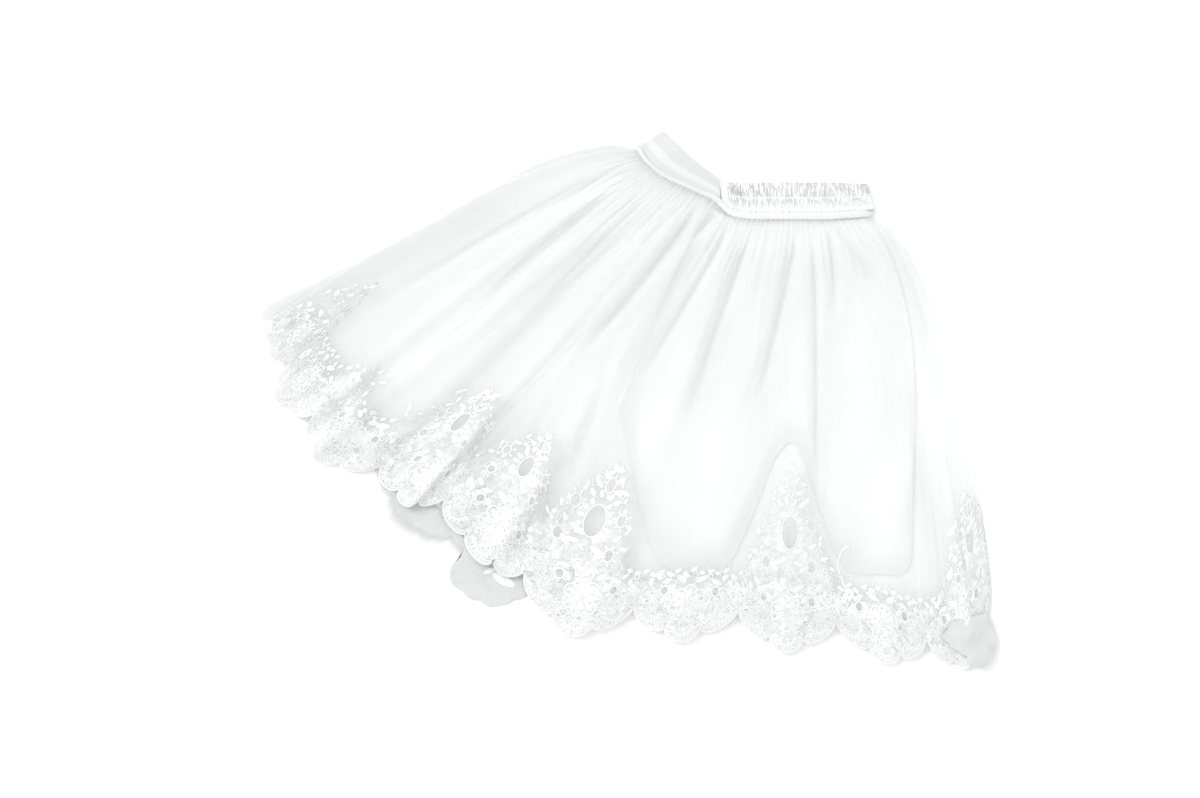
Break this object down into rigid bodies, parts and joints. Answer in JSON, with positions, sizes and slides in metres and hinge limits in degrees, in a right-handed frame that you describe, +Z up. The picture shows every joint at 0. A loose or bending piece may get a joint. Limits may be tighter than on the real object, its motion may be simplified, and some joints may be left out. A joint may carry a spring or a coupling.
{
  "type": "tulle skirt",
  "caption": "Gathered tulle skirt with a shirred waistband, short lining and scalloped lace border, folded in half and laid flat.",
  "frame": {"origin": "bottom centre of the bounding box, on the surface the skirt lies on", "axes": "+X from the centre front fold to the centre back fold, +Y from hem to waist, +Z up off the surface"},
  "size_m": [0.9596, 0.6996, 0.0383],
  "materials": {
    "net": "fine white net, gathered",
    "lining": "opaque white satin weave",
    "lace": "white corded embroidery on net",
    "binding": "smooth white tape",
    "band": "ribbed tape and shirred elastic, white"
  },
  "bodies": {
    "root": {"tulle_under": "net", "tulle_front": "net", "tulle_back": "net", "lining_under": "lining", "lining_top": "lining", "lace_front": "lace", "lace_back": "lace", "lace_under_front": "lace", "lace_under_back": "lace", "waist_binding": "binding", "band_front": "band", "band_back": "band"}
  },
  "joints": []
}
